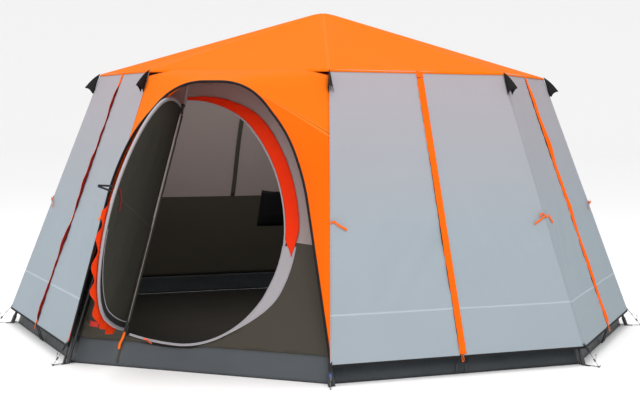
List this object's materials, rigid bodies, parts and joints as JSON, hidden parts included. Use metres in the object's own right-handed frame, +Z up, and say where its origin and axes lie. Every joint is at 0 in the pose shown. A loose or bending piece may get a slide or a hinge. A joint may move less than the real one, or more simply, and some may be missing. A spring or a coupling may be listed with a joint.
{
  "type": "frame tent",
  "caption": "Eight-sided frame tent with a hinged door leaf, porch arch, hanging inner tent, and fly panels that unzip and fold open.",
  "frame": {"origin": "centre of the floor's underside, on the ground", "axes": "+Z up, -Y towards the door side, +X to the right of someone facing the door from outside"},
  "size_m": [4.2606, 4.7329, 2.2054],
  "materials": {
    "roof_cloth": "coated polyester, faint weave, soft sheen",
    "porch_cloth": "coated polyester, orange",
    "flap_cloth": "red-orange coated polyester",
    "panel_cloth": "light blue-grey coated polyester",
    "inner_cloth": "breathable polyester, matt",
    "leaf_cloth": "dark woven polyester",
    "floor_cloth": "heavy coated polyethylene weave",
    "black_webbing": "polypropylene webbing",
    "tie_cloth": "orange cloth tape",
    "line_cord": "braided cord",
    "tape_cloth": "light grey edge tape",
    "steel_tube": "powder-coated steel tube, satin black",
    "steel_peg": "plated steel wire",
    "pole_black": "glass-fibre rod, black",
    "ferrule_steel": "thin steel sleeve",
    "black_plastic": "moulded plastic, fine texture",
    "zip_pull": "zip slider with a cord pull"
  },
  "bodies": {
    "tent_frame": {"roof_hub": "black_plastic", "hub_cap": "black_plastic", "roof_poles": "pole_black", "pole_ferrules": "ferrule_steel", "shoulder_elbows": "black_plastic", "leg_tubes_upper": "steel_tube", "leg_tubes_lower": "steel_tube", "leg_feet": "black_plastic", "porch_arch_pole": "pole_black", "porch_arch_feet": "black_plastic", "door_post": "steel_tube", "door_post_collars": "black_plastic", "inner_front_wall": "inner_cloth", "door_zip_tape": "tape_cloth", "door_fixed_storm_flap": "flap_cloth", "door_zip_slider": "zip_pull", "plain_patch": "tape_cloth", "inner_side_walls": "inner_cloth", "inner_roof": "inner_cloth", "bathtub_walls": "floor_cloth", "ground_sheet": "floor_cloth", "inner_hooks": "black_plastic", "fly_roof": "roof_cloth", "fly_porch": "porch_cloth", "fly_upper_walls": "panel_cloth", "corner_hoods": "black_webbing", "corner_ties": "tie_cloth", "corner_straps": "black_webbing", "peg_lines": "line_cord", "line_runners": "black_plastic", "ground_pegs": "steel_peg", "floor_tabs": "black_webbing", "hem_hooks": "black_webbing"},
    "door_leaf": {"door_leaf_stile": "steel_tube", "door_leaf_hoop": "pole_black", "door_hinge_fittings": "black_plastic", "door_leaf_panel": "leaf_cloth", "door_leaf_storm_flap": "flap_cloth", "door_leaf_strap": "black_webbing"},
    "panel_1_left_flap": {"panel_1_left_flap": "panel_cloth"},
    "panel_1_right_flap": {"panel_1_right_flap": "panel_cloth"},
    "panel_1_zip_slider": {"panel_1_zip_slider": "zip_pull"},
    "panel_2_left_flap": {"panel_2_left_flap": "panel_cloth"},
    "panel_2_right_flap": {"panel_2_right_flap": "panel_cloth"},
    "panel_2_zip_slider": {"panel_2_zip_slider": "zip_pull"},
    "panel_3_left_flap": {"panel_3_left_flap": "panel_cloth"},
    "panel_3_right_flap": {"panel_3_right_flap": "panel_cloth"},
    "panel_3_zip_slider": {"panel_3_zip_slider": "zip_pull"},
    "panel_4_left_flap": {"panel_4_left_flap": "panel_cloth"},
    "panel_4_right_flap": {"panel_4_right_flap": "panel_cloth"},
    "panel_4_zip_slider": {"panel_4_zip_slider": "zip_pull"},
    "panel_5_left_flap": {"panel_5_left_flap": "panel_cloth"},
    "panel_5_right_flap": {"panel_5_right_flap": "panel_cloth"},
    "panel_5_zip_slider": {"panel_5_zip_slider": "zip_pull"},
    "panel_6_left_flap": {"panel_6_left_flap": "panel_cloth"},
    "panel_6_right_flap": {"panel_6_right_flap": "panel_cloth"},
    "panel_6_zip_slider": {"panel_6_zip_slider": "zip_pull"},
    "panel_7_left_flap": {"panel_7_left_flap": "panel_cloth"},
    "panel_7_right_flap": {"panel_7_right_flap": "panel_cloth"},
    "panel_7_zip_slider": {"panel_7_zip_slider": "zip_pull"}
  },
  "joints": [
    {"name": "door_hinge", "type": "hinge", "parent": "tent_frame", "child": "door_leaf", "pos_m": [-0.504, -1.89531, 0.235], "axis": [-0.0947, -0.3375, -0.9365], "range_deg": [-77, 0]},
    {"name": "panel_1_left_fold", "type": "hinge", "parent": "tent_frame", "child": "panel_1_left_flap", "pos_m": [0.99953, -1.03348, 1.758], "axis": [-0.0521, -0.4912, -0.8695], "range_deg": [0, 100]},
    {"name": "panel_1_right_fold", "type": "hinge", "parent": "tent_frame", "child": "panel_1_right_flap", "pos_m": [1.02216, -1.01085, 1.758], "axis": [-0.4955, -0.0579, 0.8667], "range_deg": [0, 100]},
    {"name": "panel_1_zip", "type": "slide", "parent": "panel_1_right_flap", "child": "panel_1_zip_slider", "axis": [-0.2378, 0.2378, 0.9418], "range_m": [0, 1.62]},
    {"name": "panel_2_left_fold", "type": "hinge", "parent": "tent_frame", "child": "panel_2_left_flap", "pos_m": [1.43756, -0.024, 1.758], "axis": [0.3104, -0.3842, -0.8695], "range_deg": [0, 100]},
    {"name": "panel_2_right_fold", "type": "hinge", "parent": "tent_frame", "child": "panel_2_right_flap", "pos_m": [1.43756, 0.008, 1.758], "axis": [-0.3094, -0.3914, 0.8667], "range_deg": [0, 100]},
    {"name": "panel_2_zip", "type": "slide", "parent": "panel_2_right_flap", "child": "panel_2_zip_slider", "axis": [-0.3362, 0, 0.9418], "range_m": [0, 1.62]},
    {"name": "panel_3_left_fold", "type": "hinge", "parent": "tent_frame", "child": "panel_3_left_flap", "pos_m": [1.03348, 0.99953, 1.758], "axis": [0.4912, -0.0521, -0.8695], "range_deg": [0, 100]},
    {"name": "panel_3_right_fold", "type": "hinge", "parent": "tent_frame", "child": "panel_3_right_flap", "pos_m": [1.01085, 1.02216, 1.758], "axis": [0.0579, -0.4955, 0.8667], "range_deg": [0, 100]},
    {"name": "panel_3_zip", "type": "slide", "parent": "panel_3_right_flap", "child": "panel_3_zip_slider", "axis": [-0.2378, -0.2378, 0.9418], "range_m": [0, 1.62]},
    {"name": "panel_4_left_fold", "type": "hinge", "parent": "tent_frame", "child": "panel_4_left_flap", "pos_m": [0.024, 1.43756, 1.758], "axis": [0.3842, 0.3104, -0.8695], "range_deg": [0, 100]},
    {"name": "panel_4_right_fold", "type": "hinge", "parent": "tent_frame", "child": "panel_4_right_flap", "pos_m": [-0.008, 1.43756, 1.758], "axis": [0.3914, -0.3094, 0.8667], "range_deg": [0, 100]},
    {"name": "panel_4_zip", "type": "slide", "parent": "panel_4_right_flap", "child": "panel_4_zip_slider", "axis": [0, -0.3362, 0.9418], "range_m": [0, 1.62]},
    {"name": "panel_5_left_fold", "type": "hinge", "parent": "tent_frame", "child": "panel_5_left_flap", "pos_m": [-0.99953, 1.03348, 1.758], "axis": [0.0521, 0.4912, -0.8695], "range_deg": [0, 100]},
    {"name": "panel_5_right_fold", "type": "hinge", "parent": "tent_frame", "child": "panel_5_right_flap", "pos_m": [-1.02216, 1.01085, 1.758], "axis": [0.4955, 0.0579, 0.8667], "range_deg": [0, 100]},
    {"name": "panel_5_zip", "type": "slide", "parent": "panel_5_right_flap", "child": "panel_5_zip_slider", "axis": [0.2378, -0.2378, 0.9418], "range_m": [0, 1.62]},
    {"name": "panel_6_left_fold", "type": "hinge", "parent": "tent_frame", "child": "panel_6_left_flap", "pos_m": [-1.43756, 0.024, 1.758], "axis": [-0.3104, 0.3842, -0.8695], "range_deg": [0, 100]},
    {"name": "panel_6_right_fold", "type": "hinge", "parent": "tent_frame", "child": "panel_6_right_flap", "pos_m": [-1.43756, -0.008, 1.758], "axis": [0.3094, 0.3914, 0.8667], "range_deg": [0, 100]},
    {"name": "panel_6_zip", "type": "slide", "parent": "panel_6_right_flap", "child": "panel_6_zip_slider", "axis": [0.3362, 0, 0.9418], "range_m": [0, 1.62]},
    {"name": "panel_7_left_fold", "type": "hinge", "parent": "tent_frame", "child": "panel_7_left_flap", "pos_m": [-1.03348, -0.99953, 1.758], "axis": [-0.4912, 0.0521, -0.8695], "range_deg": [0, 100]},
    {"name": "panel_7_right_fold", "type": "hinge", "parent": "tent_frame", "child": "panel_7_right_flap", "pos_m": [-1.01085, -1.02216, 1.758], "axis": [-0.0579, 0.4955, 0.8667], "range_deg": [0, 100]},
    {"name": "panel_7_zip", "type": "slide", "parent": "panel_7_right_flap", "child": "panel_7_zip_slider", "axis": [0.2378, 0.2378, 0.9418], "range_m": [0, 1.62]}
  ]
}
